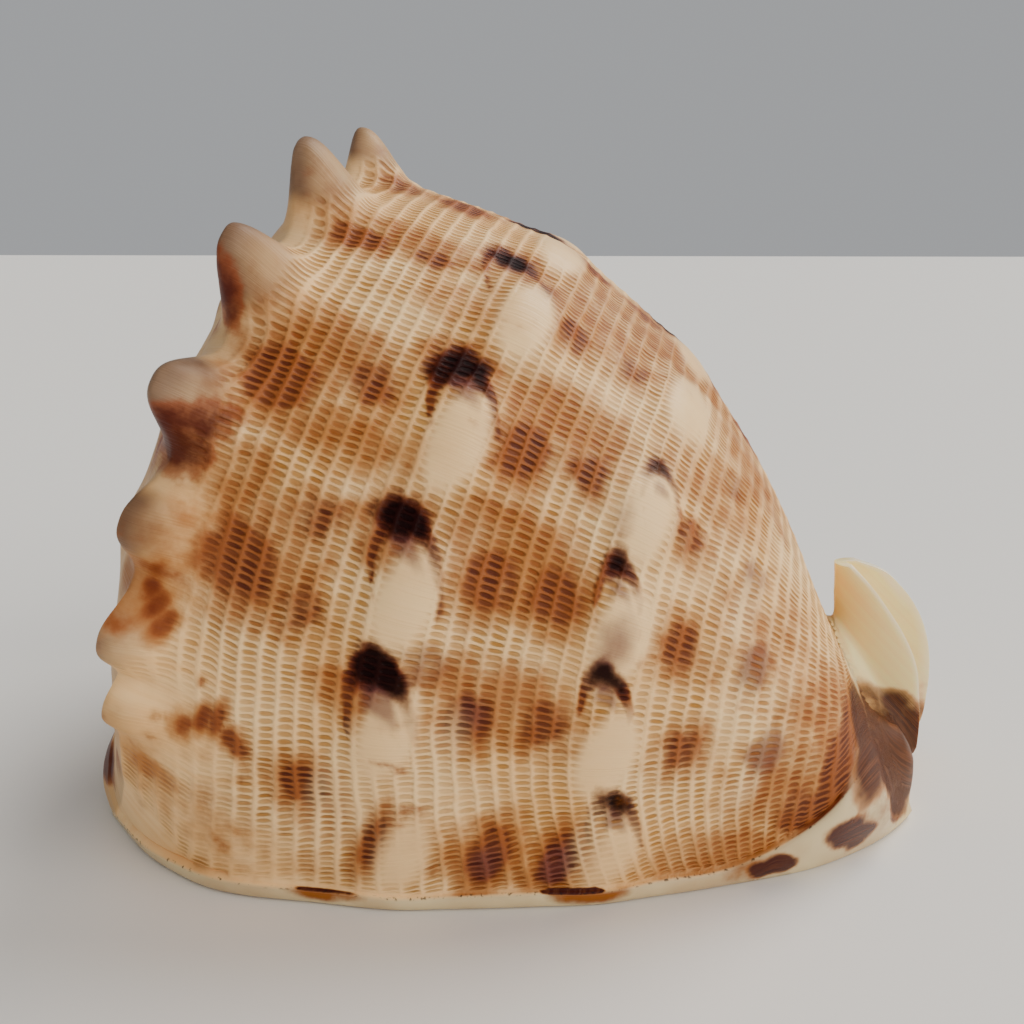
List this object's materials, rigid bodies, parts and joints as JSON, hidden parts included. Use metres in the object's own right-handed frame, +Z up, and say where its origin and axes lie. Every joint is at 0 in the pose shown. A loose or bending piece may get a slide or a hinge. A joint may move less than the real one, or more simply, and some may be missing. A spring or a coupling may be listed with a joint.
{
  "type": "horned helmet shell",
  "caption": "Horned helmet sea shell lying on its aperture, with a shoulder of blunt horns, knobbed net-patterned body, thick outer lip, flat shield and bent-up canal.",
  "frame": {"origin": "on the resting plane, under the middle of the shell's bounding box", "axes": "+X along the shell from the spire to the siphonal canal, +Y away from the outer lip, +Z up from the aperture face to the back"},
  "size_m": [0.2212, 0.155, 0.1647],
  "materials": {
    "shell": "natural shell, netted satin body with glossy lip, shield and canal"
  },
  "bodies": {
    "root": {"shell": "shell"}
  },
  "joints": []
}
